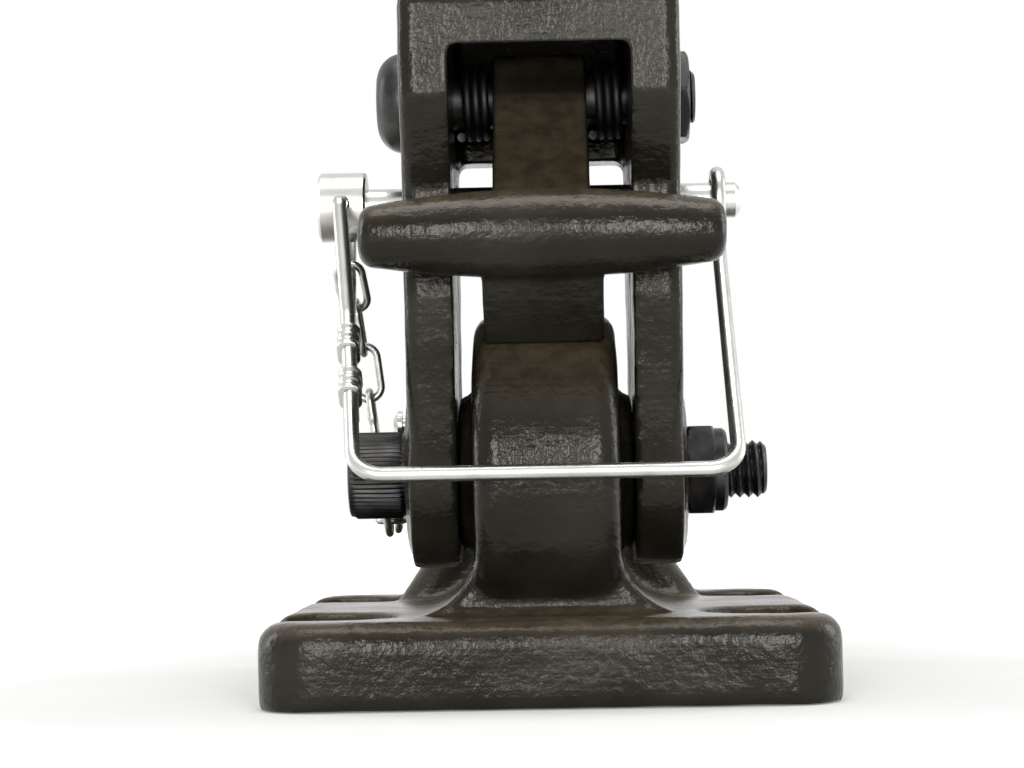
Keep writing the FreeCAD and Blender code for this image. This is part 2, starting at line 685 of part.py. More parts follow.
def make_lock_pin():
    head = "(pin_head_x - pin_head_long)"
    pin = turned("lock_pin", "pin_y", "pin_z", [
        (head, "0"),
        ("pin_tip_x", "0"),
        ("pin_tip_x", "pin_dia / 2 - bolt_chamfer"),
        ("pin_tip_x - bolt_chamfer", "pin_dia / 2"),
        ("pin_head_x", "pin_dia / 2"),
        ("pin_head_x", "pin_head_dia / 2 - bolt_chamfer / 2"),
        ("pin_head_x - bolt_chamfer / 2", "pin_head_dia / 2"),
        (head + " + bolt_chamfer / 2", "pin_head_dia / 2"),
        (head, "pin_head_dia / 2 - bolt_chamfer / 2"),
    ])
    cross = plane_sketch(pin, "XZ_Plane", "CrossHole")
    draw_circle(cross, "pin_head_x - pin_head_long / 2", "pin_z", "wire_dia + 2 * wire_play")
    pocket(pin, cross, "2 * plate_depth")
    return pin


def new_feature(label, shape):
    """Piece that is bent or wound from wire, which no primitive gives."""
    feature = doc.addObject("Part::Feature", "Wire_" + label)
    feature.Label = label
    feature.Shape = shape
    return feature


def bent_route(points, radii):
    """Edges of straight runs joined by tangent arcs, one radius for each inner point."""
    edges = []
    start = points[0]
    for index, radius in enumerate(radii, 1):
        corner = points[index]
        back = (points[index - 1] - corner).normalize()
        ahead = (points[index + 1] - corner).normalize()
        half_turn = (math.pi - back.getAngle(ahead)) / 2
        cut = radius * math.tan(half_turn)
        first = corner + back * cut
        last = corner + ahead * cut
        inward = (back + ahead).normalize()
        middle = corner + inward * (radius / math.cos(half_turn) - radius)
        edges.append(Part.LineSegment(start, first).toShape())
        edges.append(Part.Arc(first, middle, last).toShape())
        start = last
    edges.append(Part.LineSegment(start, points[-1]).toShape())
    return edges


def swept_wire(edges, radius):
    """Round wire along a route."""
    spine = Part.Wire(edges)
    first = edges[0]
    heading = first.tangentAt(first.FirstParameter)
    ring = Part.Wire([Part.makeCircle(radius, first.valueAt(first.FirstParameter), heading)])
    return spine.makePipeShell([ring], True, False)


def leg_point(height):
    """Point on the bail's left leg at a height, on its way from the bottom run to the pin's head."""
    share = (height - size("bail_z")) / size("pin_z - bail_z")
    hole_x = size("pin_head_x - pin_head_long / 2")
    return V(-size("bail_half") + (hole_x + size("bail_half")) * share,
             size("bail_y") + size("pin_y - bail_y") * share, height)


def strand_offset():
    """From the bail's front strand to the one behind it."""
    along = V(0, size("pin_y - bail_y"), size("pin_z - bail_z")).normalize()
    return V(0, along.z, -along.y) * size("wire_dia + strand_play")


def loop_corners():
    """Corners of the doubled wire in front of the pin's head and behind it."""
    hole_x = size("pin_head_x - pin_head_long / 2")
    front = V(hole_x, size("pin_y - pin_head_dia / 2 - loop_front"), size("pin_z"))
    back = V(hole_x, size("pin_y + pin_head_dia / 2 + loop_back"), size("pin_z"))
    return front, back


def make_wire_bail():
    radius = size("wire_dia / 2")
    bend = size("bail_bend")
    behind = strand_offset()
    crimp_top = size("ferrule_one_z + ferrule_long")
    tail = leg_point(size("ferrule_two_z - ferrule_long")) + behind
    front, back = loop_corners()
    left = V(-size("bail_half"), size("bail_y"), size("bail_z"))
    right = V(size("bail_half"), size("bail_y"), size("bail_z"))

    # The right leg runs on at a tangent into an eye round the pin's tip
    pin = V(size("bail_half"), size("pin_y"), size("pin_z"))
    eye = size("pin_dia / 2 + eye_play") + radius
    down = right - pin
    lean = math.atan2(down.z, down.y) + math.acos(eye / down.Length)

    def on_eye(turn):
        return pin + V(0, math.cos(lean + turn), math.sin(lean + turn)) * eye

    route = bent_route(
        [tail, leg_point(crimp_top) + behind, back, front, leg_point(crimp_top), left, right, on_eye(0)],
        [bend, size("loop_bend"), size("loop_bend"), bend, bend, bend])
    eye_turn = math.radians(size("eye_angle"))
    steps = [eye_turn * share / 4 for share in range(5)]
    route.append(Part.Arc(on_eye(steps[0]), on_eye(steps[1]), on_eye(steps[2])).toShape())
    route.append(Part.Arc(on_eye(steps[2]), on_eye(steps[3]), on_eye(steps[4])).toShape())
    return new_feature("wire_bail", swept_wire(route, radius))


def obround(centre, across, heading, spread, radius):
    """Face with two round ends, spread apart in one direction."""
    shift = across * (spread / 2)
    out = heading.cross(across).normalize() * radius
    side = across * radius
    corners = [centre - shift + out, centre + shift + out, centre + shift - out, centre - shift - out]
    edges = [
        Part.LineSegment(corners[0], corners[1]).toShape(),
        Part.Arc(corners[1], centre + shift + side, corners[2]).toShape(),
        Part.LineSegment(corners[2], corners[3]).toShape(),
        Part.Arc(corners[3], centre - shift - side, corners[0]).toShape(),
    ]
    return Part.Face(Part.Wire(edges))


def make_ferrule(label, height):
    """Sleeve crimped round both strands of the left leg."""
    behind = strand_offset()
    heading = (leg_point(size("pin_z")) - leg_point(size("bail_z"))).normalize()
    across = (behind - heading * behind.dot(heading)).normalize()
    length = size("ferrule_long")
    centre = leg_point(height) + behind * 0.5 - heading * (length / 2)
    hole = size("wire_dia / 2 + run_play")
    wall = hole + size("ferrule_wall")
    sleeve = obround(centre, across, heading, behind.Length, wall).extrude(heading * length)
    inside = obround(centre - heading, across, heading, behind.Length, hole).extrude(heading * (length + 2))
    return new_feature(label, sleeve.cut(inside).removeSplitter())


def chain_sizes():
    """Half-length of a link's straight sides, radius of its round ends, and half its wire."""
    wire = size("link_wire / 2")
    end = size("link_inner_wide / 2") + wire
    return size("link_inner_long / 2") + wire - end, end, wire


def hang_chain():
    """Centres and directions of the links, and the place where the last one meets its anchor."""
    half, end, wire = chain_sizes()
    play = size("link_play")
    back = loop_corners()[1]
    crimp = leg_point(size("ferrule_one_z + ferrule_long")) + strand_offset()
    hung = back + (crimp - back) * HUNG_SHARE
    neck = -size("arm_gap / 2 + arm_thick + anchor_neck_long / 2")
    first = half + end - wire - size("wire_dia / 2") - play
    lap = end - 2 * wire - play
    run = first + (len(CHAIN_HEADINGS) - 1) * (2 * half + end + lap) + half + play
    lean = math.asin((neck - hung.x) / run)
    directions = []
    for heading in CHAIN_HEADINGS:
        turn = math.radians(heading)
        fall = math.cos(lean)
        directions.append(V(math.sin(lean), fall * math.sin(turn), -fall * math.cos(turn)))
    centres = [hung + directions[0] * first]
    for index, ahead in enumerate(directions[1:]):
        here = directions[index]
        if index % 2:
            step = here * half + ahead * (lap + half + end)
        else:
            step = here * (half + end + lap) + ahead * half
        centres.append(centres[-1] + step)
    return centres, directions, centres[-1] + directions[-1] * (half + play)


def make_chain(centres, directions):
    """Links laid crosswise and edgewise by turns."""
    half, end, wire = chain_sizes()
    links = []
    for index, (centre, along) in enumerate(zip(centres, directions)):
        edgewise = along.cross(V(1, 0, 0)).normalize()
        across = edgewise if index % 2 else along.cross(edgewise)
        top = centre + along * half
        low = centre - along * half
        side = across * end
        edges = [
            Part.LineSegment(low + side, top + side).toShape(),
            Part.Arc(top + side, top + along * end, top - side).toShape(),
            Part.LineSegment(top - side, low - side).toShape(),
            Part.Arc(low - side, low - along * end, low + side).toShape(),
        ]
        links.append(new_feature("chain_link_%02d" % (index + 1), swept_wire(edges, wire)))
    return links


def make_chain_anchor():
    face = "(-arm_gap / 2 - arm_thick)"
    neck_end = "(%s - anchor_neck_long)" % face
    head_end = "(%s - anchor_head_high)" % neck_end
    return turned("chain_anchor", "anchor_at_y", "anchor_at_z", [
        (head_end, "0"),
        (face, "0"),
        (face, "anchor_neck_dia / 2"),
        (neck_end, "anchor_neck_dia / 2"),
        (neck_end, "anchor_head_dia / 2"),
        (head_end + " + anchor_head_high / 2", "anchor_head_dia / 2"),
        (head_end, "anchor_head_dia / 4"),
    ])


def make_latch_spring(label, side):
    """Coil on the latch bolt beside the hub."""
    wire = size("spring_wire / 2")
    mean = size("bolt_dia / 2 + spring_play") + wire
    room = size("arm_gap / 2 - latch_width / 2")
    turns = size("spring_turns")
    pitch = (room - 2 * wire - 2 * size("spring_play")) / turns
    coil = Part.makeHelix(pitch, pitch * turns, mean)
    start = coil.Edges[0].valueAt(coil.Edges[0].FirstParameter)
    heading = coil.Edges[0].tangentAt(coil.Edges[0].FirstParameter)
    ring = Part.Wire([Part.makeCircle(wire, start, heading)])
    shape = Part.Wire(coil.Edges).makePipeShell([ring], True, True)
    shape.rotate(V(0, 0, 0), V(0, 1, 0), 90)
    middle = side * size("latch_width / 2 + arm_gap / 2") / 2 - pitch * turns / 2
    shape.translate(V(middle, size("latch_y"), size("latch_z")))
    return new_feature(label, shape)


pieces = [make_mounting_forging(), make_tow_ball(), make_upper_jaw(), make_latch()]
pieces += make_jaw_pivot()
pieces += make_latch_pivot()
pieces += [make_lock_pin(), make_wire_bail()]
pieces += [make_ferrule("ferrule_upper", size("ferrule_one_z"))]
pieces += [make_ferrule("ferrule_lower", size("ferrule_two_z"))]
link_centres, link_directions, chain_end = hang_chain()
add_size("anchor_at_y", chain_end.y, "chain anchor on the left arm, where the chain ends")
add_size("anchor_at_z", chain_end.z, "chain anchor above the mounting face")
pieces += [make_chain_anchor()]
pieces += make_chain(link_centres, link_directions)
pieces += [make_latch_spring("latch_spring_left", -1), make_latch_spring("latch_spring_right", 1)]
doc.recompute()

for item in doc.Objects:
    if "Invalid" in item.State or "Error" in item.State:
        raise RuntimeError(item.Label + " failed")
for piece in pieces:
    if piece.Shape.isNull() or not piece.Shape.isValid() or len(piece.Shape.Solids) != 1:
        raise RuntimeError(piece.Label + " is not one valid solid")
os.makedirs("parts", exist_ok=True)
for piece in pieces:
    piece.Shape.exportStep("parts/%s.step" % piece.Label)
print("%d pieces written" % len(pieces))
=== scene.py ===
import json
import math

import bmesh
import bpy
import numpy as np
from mathutils import Matrix, Vector, noise


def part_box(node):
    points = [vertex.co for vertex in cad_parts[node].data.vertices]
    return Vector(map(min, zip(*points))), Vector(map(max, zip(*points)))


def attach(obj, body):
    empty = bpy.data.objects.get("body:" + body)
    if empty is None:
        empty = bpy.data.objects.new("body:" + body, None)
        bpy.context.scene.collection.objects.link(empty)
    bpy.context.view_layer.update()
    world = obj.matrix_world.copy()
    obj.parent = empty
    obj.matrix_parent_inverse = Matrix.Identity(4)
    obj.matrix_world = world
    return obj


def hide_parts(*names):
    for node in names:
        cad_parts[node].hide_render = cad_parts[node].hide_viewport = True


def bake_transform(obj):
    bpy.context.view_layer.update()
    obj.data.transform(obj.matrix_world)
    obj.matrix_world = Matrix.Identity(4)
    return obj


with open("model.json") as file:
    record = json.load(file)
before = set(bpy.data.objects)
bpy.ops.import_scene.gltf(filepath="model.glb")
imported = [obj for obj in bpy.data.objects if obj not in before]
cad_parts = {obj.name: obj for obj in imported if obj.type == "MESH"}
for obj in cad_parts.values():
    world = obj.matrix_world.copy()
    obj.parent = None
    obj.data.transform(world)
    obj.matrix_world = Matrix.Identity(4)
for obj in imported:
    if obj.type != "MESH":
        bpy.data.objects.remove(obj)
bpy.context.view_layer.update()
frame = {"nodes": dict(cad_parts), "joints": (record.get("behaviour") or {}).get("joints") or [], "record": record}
cadNodes = frame["nodes"]
mm = 0.001
bodyOf = {}
for bodyName, members in frame["record"]["behaviour"]["bodies"].items():
    for member in members:
        bodyOf[member] = bodyName
print("frame loaded,", len(cadNodes), "nodes")


# helpers for materials

def newMaterial(name, baseColor, metallic, rough):
    material = bpy.data.materials.new(name)
    material.use_nodes = True
    tree = material.node_tree
    shader = tree.nodes["Principled BSDF"]
    shader.inputs["Base Color"].default_value = (*baseColor, 1)
    shader.inputs["Metallic"].default_value = metallic
    shader.inputs["Roughness"].default_value = rough
    return material, tree, shader


def addNoise(tree, scale, detail=4.0, stretch=None):
    where = tree.nodes.new("ShaderNodeTexCoord")
    grain = tree.nodes.new("ShaderNodeTexNoise")
    grain.inputs["Scale"].default_value = scale
    grain.inputs["Detail"].default_value = detail
    if stretch:
        squeeze = tree.nodes.new("ShaderNodeMapping")
        squeeze.inputs["Scale"].default_value = stretch
        tree.links.new(where.outputs["Object"], squeeze.inputs["Vector"])
        tree.links.new(squeeze.outputs["Vector"], grain.inputs["Vector"])
    else:
        tree.links.new(where.outputs["Object"], grain.inputs["Vector"])
    return grain.outputs["Fac"]


def addRange(tree, value, fromLow, fromHigh, toLow, toHigh):
    spread = tree.nodes.new("ShaderNodeMapRange")
    spread.inputs["From Min"].default_value = fromLow
    spread.inputs["From Max"].default_value = fromHigh
    spread.inputs["To Min"].default_value = toLow
    spread.inputs["To Max"].default_value = toHigh
    tree.links.new(value, spread.inputs["Value"])
    return spread.outputs["Result"]


def mixColor(tree, share, first, second):
    blend = tree.nodes.new("ShaderNodeMix")
    blend.data_type = "RGBA"
    for socket, color in zip((blend.inputs[6], blend.inputs[7]), (first, second)):
        if isinstance(color, tuple):
            socket.default_value = (*color, 1)
        else:
            tree.links.new(color, socket)
    tree.links.new(share, blend.inputs[0])
    return blend.outputs[2]


def addMath(tree, operation, first, second):
    sums = tree.nodes.new("ShaderNodeMath")
    sums.operation = operation
    for socket, value in zip(sums.inputs, (first, second)):
        if isinstance(value, (int, float)):
            socket.default_value = value
        else:
            tree.links.new(value, socket)
    return sums.outputs[0]


def addBump(tree, shader, height, depth, strength):
    bump = tree.nodes.new("ShaderNodeBump")
    bump.inputs["Distance"].default_value = depth
    bump.inputs["Strength"].default_value = strength
    tree.links.new(height, bump.inputs["Height"])
    tree.links.new(bump.outputs["Normal"], shader.inputs["Normal"])


# black paint over a rough forged skin, dusty where it faces up

paintLook = {
    "paint": (0.0075, 0.0069, 0.0045), "worn": (0.016, 0.0145, 0.0105), "dust": (0.105, 0.08, 0.05),
    "gloss": 0.22, "glossTint": (1.0, 0.96, 0.86), "rough": (0.12, 0.26), "roughFrom": (0.35, 0.7),
    "grain": 850.0, "pits": 260.0, "patches": 45.0, "lines": (60.0, 60.0, 900.0), "wornFrom": (0.42, 0.68),
    "dustFacing": (0.3, 1.0), "dustMost": 0.7, "dustFrom": (0.35, 0.65), "dustThin": 0.5,
    "grainShare": 0.6, "lineShare": 0.25, "bumpDepth": 0.3 * mm, "bumpStrength": 0.85,
}


def makePaint(look):
    material, tree, shader = newMaterial("forgedBlackPaint", look["paint"], 0.0, look["rough"][0])
    grain = addNoise(tree, look["grain"], detail=5.0)
    pits = addNoise(tree, look["pits"], detail=3.0)
    patches = addNoise(tree, look["patches"])
    worn = mixColor(tree, addRange(tree, patches, *look["wornFrom"], 0.0, 1.0), look["paint"], look["worn"])
    facing = tree.nodes.new("ShaderNodeNewGeometry")
    split = tree.nodes.new("ShaderNodeSeparateXYZ")
    tree.links.new(facing.outputs["Normal"], split.inputs["Vector"])
    upward = addRange(tree, split.outputs["Z"], *look["dustFacing"], 0.0, look["dustMost"])
    patchy = addRange(tree, pits, *look["dustFrom"], look["dustThin"], 1.0)
    settled = addMath(tree, "MULTIPLY", upward, patchy)
    tree.links.new(mixColor(tree, settled, worn, look["dust"]), shader.inputs["Base Color"])
    tree.links.new(addRange(tree, patches, *look["roughFrom"], *look["rough"]), shader.inputs["Roughness"])
    marks = addNoise(tree, 1.0, detail=2.0, stretch=look["lines"])  # rolling marks across the bar
    lines = addMath(tree, "MULTIPLY", marks, look["lineShare"])
    fine = addMath(tree, "MULTIPLY", grain, look["grainShare"])
    height = addMath(tree, "ADD", fine, addMath(tree, "ADD", pits, lines))
    addBump(tree, shader, height, look["bumpDepth"], look["bumpStrength"])
    shader.inputs["Specular IOR Level"].default_value = look["gloss"]
    shader.inputs["Specular Tint"].default_value = (*look["glossTint"], 1)
    return material


# bare metals: a tint, a fine grain and a little soiling in patches

metalLooks = {
    "ball_chrome": {"color": (0.78, 0.78, 0.79), "soil": (0.55, 0.55, 0.55),
                    "rough": (0.06, 0.16), "grain": 160.0, "bumpDepth": 0.02 * mm},
    "black_oxide": {"color": (0.035, 0.035, 0.037), "soil": (0.09, 0.085, 0.075),
                    "rough": (0.30, 0.5), "grain": 700.0, "bumpDepth": 0.08 * mm},
    "spring_steel": {"color": (0.05, 0.05, 0.052), "soil": (0.03, 0.026, 0.02),
                     "rough": (0.42, 0.6), "grain": 900.0, "bumpDepth": 0.05 * mm},
    "bright_zinc": {"color": (0.60, 0.60, 0.57), "soil": (0.33, 0.32, 0.29),
                    "rough": (0.2, 0.38), "grain": 480.0, "bumpDepth": 0.06 * mm},
    "chain_zinc": {"color": (0.52, 0.52, 0.50), "soil": (0.26, 0.25, 0.22),
                   "rough": (0.24, 0.42), "grain": 600.0, "bumpDepth": 0.06 * mm},
}
metalWear = {"patchSize": 6, "soilFrom": (0.45, 0.72), "soilMost": 0.8,
             "roughFrom": (0.3, 0.7), "bumpStrength": 0.4}


def makeMetal(name, look, wear):
    material, tree, shader = newMaterial(name, look["color"], 1.0, look["rough"][0])
    grain = addNoise(tree, look["grain"], detail=5.0)
    patches = addNoise(tree, look["grain"] / wear["patchSize"], detail=3.0)
    soiled = addRange(tree, patches, *wear["soilFrom"], 0.0, wear["soilMost"])
    tree.links.new(mixColor(tree, soiled, look["color"], look["soil"]), shader.inputs["Base Color"])
    tree.links.new(addRange(tree, patches, *wear["roughFrom"], *look["rough"]), shader.inputs["Roughness"])
    addBump(tree, shader, grain, look["bumpDepth"], wear["bumpStrength"])
    return material


nylonLook = {"color": (0.72, 0.71, 0.65), "stain": (0.45, 0.42, 0.34), "stainFrom": (0.45, 0.7),
             "stainMost": 0.7, "rough": 0.45, "grain": 900.0, "bumpDepth": 0.05 * mm, "bumpStrength": 0.3}


def makeNylon(look):
    material, tree, shader = newMaterial("nylonRing", look["color"], 0.0, look["rough"])
    grain = addNoise(tree, look["grain"])
    stained = addRange(tree, grain, *look["stainFrom"], 0.0, look["stainMost"])
    tree.links.new(mixColor(tree, stained, look["color"], look["stain"]), shader.inputs["Base Color"])
    addBump(tree, shader, grain, look["bumpDepth"], look["bumpStrength"])
    return material


looks = {name: makeMetal(name, look, metalWear) for name, look in metalLooks.items()}
looks["forging_paint"] = makePaint(paintLook)
looks["nylon"] = makeNylon(nylonLook)
slotOf = {}
for entry in frame["record"]["subparts"]:
    slotOf[entry["node"]] = entry["material_slot"]
for nodeName, node in cadNodes.items():
    node.data.materials.clear()
    node.data.materials.append(looks[slotOf[nodeName]])
    node.data.polygons.foreach_set("use_smooth", [True] * len(node.data.polygons))
print("materials made:", ", ".join(sorted(looks)))


# helpers for pieces

def addPiece(name, vertices, faces, standsFor):
    mesh = bpy.data.meshes.new(name)
    mesh.from_pydata([tuple(v) for v in vertices], [], faces)
    mesh.update()
    mesh.polygons.foreach_set("use_smooth", [True] * len(mesh.polygons))
    piece = bpy.data.objects.new(name, mesh)
    bpy.context.scene.collection.objects.link(piece)
    finishPiece(piece, standsFor)
    return piece


def finishPiece(piece, standsFor):
    piece.data.materials.clear()
    piece.data.materials.append(looks[slotOf[standsFor]])
    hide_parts(standsFor)


def faceOutward(piece):
    tidy = bmesh.new()
    tidy.from_mesh(piece.data)
    bmesh.ops.recalc_face_normals(tidy, faces=tidy.faces)
    tidy.to_mesh(piece.data)
    tidy.free()


def sharpen(piece, degrees):
    piece.data.set_sharp_from_angle(angle=math.radians(degrees))


def ringFaces(rings, around, closedEnds):
    faces = []
    for ring in range(rings - 1):
        for spot in range(around):
            ahead = (spot + 1) % around
            faces.append((ring * around + spot, ring * around + ahead,
                          (ring + 1) * around + ahead, (ring + 1) * around + spot))
    if closedEnds:
        faces.append(tuple(reversed(range(around))))
        faces.append(tuple((rings - 1) * around + spot for spot in range(around)))
    return faces


def joinEnds(rings, around):
    last = (rings - 1) * around
    return [(last + spot, last + (spot + 1) % around, (spot + 1) % around, spot) for spot in range(around)]


# forgings: the CAD shape with soft edges and a hammered skin

forgings = {
    "mounting_forging": {"voxel": 1.15 * mm, "smoothing": 5, "waves": 0.16 * mm, "waveSize": 9 * mm},
    "upper_jaw": {"voxel": 1.0 * mm, "smoothing": 5, "waves": 0.16 * mm, "waveSize": 8 * mm},
    "latch": {"voxel": 0.7 * mm, "smoothing": 5, "waves": 0.12 * mm, "waveSize": 7 * mm, "pinRoom": 4.2 * mm},
}
weldWithin = 0.002 * mm
softness = 0.5
liftShares = (0, 0.25, 0.5, 0.75, 1)


def clearPin(placed, room):
    boltLow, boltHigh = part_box("latch_pivot_bolt")
    pinLow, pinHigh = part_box("lock_pin")
    bolt = (boltLow + boltHigh) / 2
    arm = (pinLow + pinHigh) / 2 - bolt
    lift = [joint for joint in frame["joints"] if joint["name"] == "latch_lift"][0]["range_deg"][1]
    spots = np.array(placed).reshape(-1, 3)
    for share in liftShares:  # the pin as the lifting latch meets it
        turn = math.radians(lift * share)
        pin = np.array((bolt.y + arm.y * math.cos(turn) - arm.z * math.sin(turn),
                        bolt.z + arm.y * math.sin(turn) + arm.z * math.cos(turn)))
        away = spots[:, 1:] - pin
        reach = np.linalg.norm(away, axis=1)
        close = reach < room
        spots[close, 1:] = pin + away[close] * (room / reach[close])[:, None]
    return spots.ravel()


def makeForging(nodeName, form):
    mesh = cadNodes[nodeName].data.copy()
    weld = bmesh.new()
    weld.from_mesh(mesh)
    bmesh.ops.remove_doubles(weld, verts=weld.verts, dist=weldWithin)
    weld.to_mesh(mesh)
    weld.free()
    rough = bpy.data.objects.new(nodeName + "Rough", mesh)
    bpy.context.scene.collection.objects.link(rough)
    remesh = rough.modifiers.new("skin", "REMESH")
    remesh.mode = "VOXEL"
    remesh.voxel_size = form["voxel"]
    soften = rough.modifiers.new("soften", "SMOOTH")
    soften.factor = softness
    soften.iterations = form["smoothing"]
    bpy.context.view_layer.update()
    skin = bpy.data.meshes.new_from_object(rough.evaluated_get(bpy.context.evaluated_depsgraph_get()))
    bpy.data.objects.remove(rough)
    spots = [vertex.co.copy() for vertex in skin.vertices]
    outward = [vertex.normal.copy() for vertex in skin.vertices]
    placed = []
    for spot, normal in zip(spots, outward):
        moved = spot + normal * noise.noise(spot / form["waveSize"]) * form["waves"]
        placed += [moved.x, moved.y, max(moved.z, 0.0)]  # none below the mounting face
    if "pinRoom" in form:
        placed = clearPin(placed, form["pinRoom"])
    skin.vertices.foreach_set("co", placed)
    skin.update()
    skin.polygons.foreach_set("use_smooth", [True] * len(skin.polygons))
    piece = bpy.data.objects.new(nodeName + "Skin", skin)
    bpy.context.scene.collection.objects.link(piece)
    finishPiece(piece, nodeName)
    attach(piece, bodyOf[nodeName])
    print(nodeName, "skin:", len(skin.polygons), "faces")


for forgingName, form in forgings.items():
    makeForging(forgingName, form)


# turned pieces along X: each ring is a place along the axis and a radius, or a function of the angle

def hexRadius(flats):
    def radius(angle):
        return flats / 2 / math.cos((angle + math.pi / 6) % (math.pi / 3) - math.pi / 6)
    return radius


def turnPiece(nodeName, centreY, centreZ, rings, around, sharpAngle):
    vertices = []
    for along, radius in rings:
        for spot in range(around):
            angle = 2 * math.pi * spot / around
            reach = radius(angle) if callable(radius) else radius
            vertices.append((along, centreY + reach * math.cos(angle), centreZ + reach * math.sin(angle)))
    piece = addPiece(nodeName + "Turned", vertices, ringFaces(len(rings), around, True), nodeName)
    faceOutward(piece)
    sharpen(piece, sharpAngle)
    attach(piece, bodyOf[nodeName])


ringsPerTurn = 12


def threadRings(start, end, outer, thread, chamfer):
    pitch = thread["pitch"]
    deep = thread["deep"]
    rings = []
    count = int((end - start) / pitch * ringsPerTurn)
    for step in range(count + 1):
        along = start + (end - start) * step / count
        limit = outer - max(0.0, chamfer - (end - along))

        def radius(angle, along=along, limit=limit):
            turn = (along / pitch - angle / (2 * math.pi)) % 1.0
            return min(limit, outer - deep * (1 - abs(2 * turn - 1)))
        rings.append((along, radius))
    return rings


def knurl(outer, deep, teeth):
    def radius(angle):
        return outer - deep * abs((angle * teeth / (2 * math.pi)) % 1.0 * 2 - 1)
    return radius


screwThread = {"pitch": 1.954 * mm, "deep": 0.95 * mm}
screwSharpAngle = 38
socketCore = 0.3 * mm  # small ring that closes the bottom of a socket

capScrew = {"headHigh": 12.7 * mm, "headRadius": 9.525 * mm, "edge": 1.1 * mm, "shank": 6.35 * mm,
            "socket": 9.53 * mm, "socketDeep": 6 * mm, "socketLip": 0.5 * mm, "socketMouth": 1.2,
            "teeth": 54, "toothDeep": 0.42 * mm, "toothRise": 0.5 * mm, "toothEnd": (1.3 * mm, 0.9 * mm),
            "brow": 0.25 * mm, "browShare": 0.55, "threaded": 9.0 * mm, "chamfer": 1.3 * mm, "around": 324}


def makeCapScrew(form):
    low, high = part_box("jaw_pivot_bolt")
    centre = (low + high) / 2
    head = low.x
    seat = head + form["headHigh"]
    outer = form["headRadius"]
    valley = outer - form["toothDeep"]
    teeth = knurl(outer, form["toothDeep"], form["teeth"])
    hexagon = hexRadius(form["socket"])
    toothEnd, bandStart = form["toothEnd"]
    rings = [
        (head + form["socketDeep"], socketCore),
        (head + form["socketDeep"], hexagon),
        (head + form["socketLip"], hexagon),
        (head, form["socket"] / 2 * form["socketMouth"]),
        (head, outer - form["edge"]),
        (head + form["brow"], outer - form["edge"] * form["browShare"]),
        (head + form["edge"], valley),
        (head + form["edge"] + form["toothRise"], teeth),
        (seat - toothEnd, teeth),
        (seat - bandStart, valley),
        (seat, valley),
        (seat, form["shank"]),
    ]
    rings += threadRings(high.x - form["threaded"], high.x, form["shank"], screwThread, form["chamfer"])
    turnPiece("jaw_pivot_bolt", centre.y, centre.z, rings, form["around"], screwSharpAngle)


buttonScrew = {"headHigh": 6.7 * mm, "headRadius": 11.1 * mm, "rim": 0.9 * mm, "domeSteps": 10,
               "shank": 6.35 * mm, "socket": 7.94 * mm, "socketDeep": 3.35 * mm, "socketLip": 0.3 * mm,
               "crownWide": 1.0 * mm, "threaded": 4.6 * mm, "chamfer": 1.1 * mm, "around": 240}


def makeButtonScrew(form):
    low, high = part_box("latch_pivot_bolt")
    centre = (low + high) / 2
    head = low.x
    seat = head + form["headHigh"]
    dome = form["headHigh"] - form["rim"]
    hexagon = hexRadius(form["socket"])
    crown = form["socket"] / 2 + form["crownWide"]
    rings = [
        (head + form["socketDeep"], socketCore),
        (head + form["socketDeep"], hexagon),
        (head + form["socketLip"], hexagon),
        (head, crown),
    ]
    for step in range(1, form["domeSteps"] + 1):  # dome as a quarter of an ellipse
        angle = math.pi / 2 * step / form["domeSteps"]
        rings.append((head + dome * (1 - math.cos(angle)),
                      crown + (form["headRadius"] - crown) * math.sin(angle)))
    rings += [(seat, form["headRadius"]), (seat, form["shank"])]
    rings += threadRings(high.x - form["threaded"], high.x, form["shank"], screwThread, form["chamfer"])
    turnPiece("latch_pivot_bolt", centre.y, centre.z, rings, form["around"], screwSharpAngle)


makeCapScrew(capScrew)
makeButtonScrew(buttonScrew)
print("screws turned")


# nuts: hexagon with its corners turned off

nuts = {
    "jaw_pivot_nut": {"flats": 19.05 * mm, "bore": 6.45 * mm, "hexHigh": 6.2 * mm,
                      "collar": 9.1 * mm, "ring": 7.8 * mm},
    "latch_pivot_nut": {"flats": 19.05 * mm, "bore": 6.45 * mm, "hexHigh": 3.6 * mm,
                        "collar": 0.0, "ring": 0.0},
}
nutTurning = {"steps": [0.0, 0.15, 0.35, 0.6, 0.9], "faceShare": 0.985, "slope": 1.9,
              "around": 144, "sharpAngle": 32}
collarRound = [(0.9 * mm, 0.0), (0.25 * mm, 0.45 * mm), (0.0, 0.95 * mm)]  # down from the top, and inward


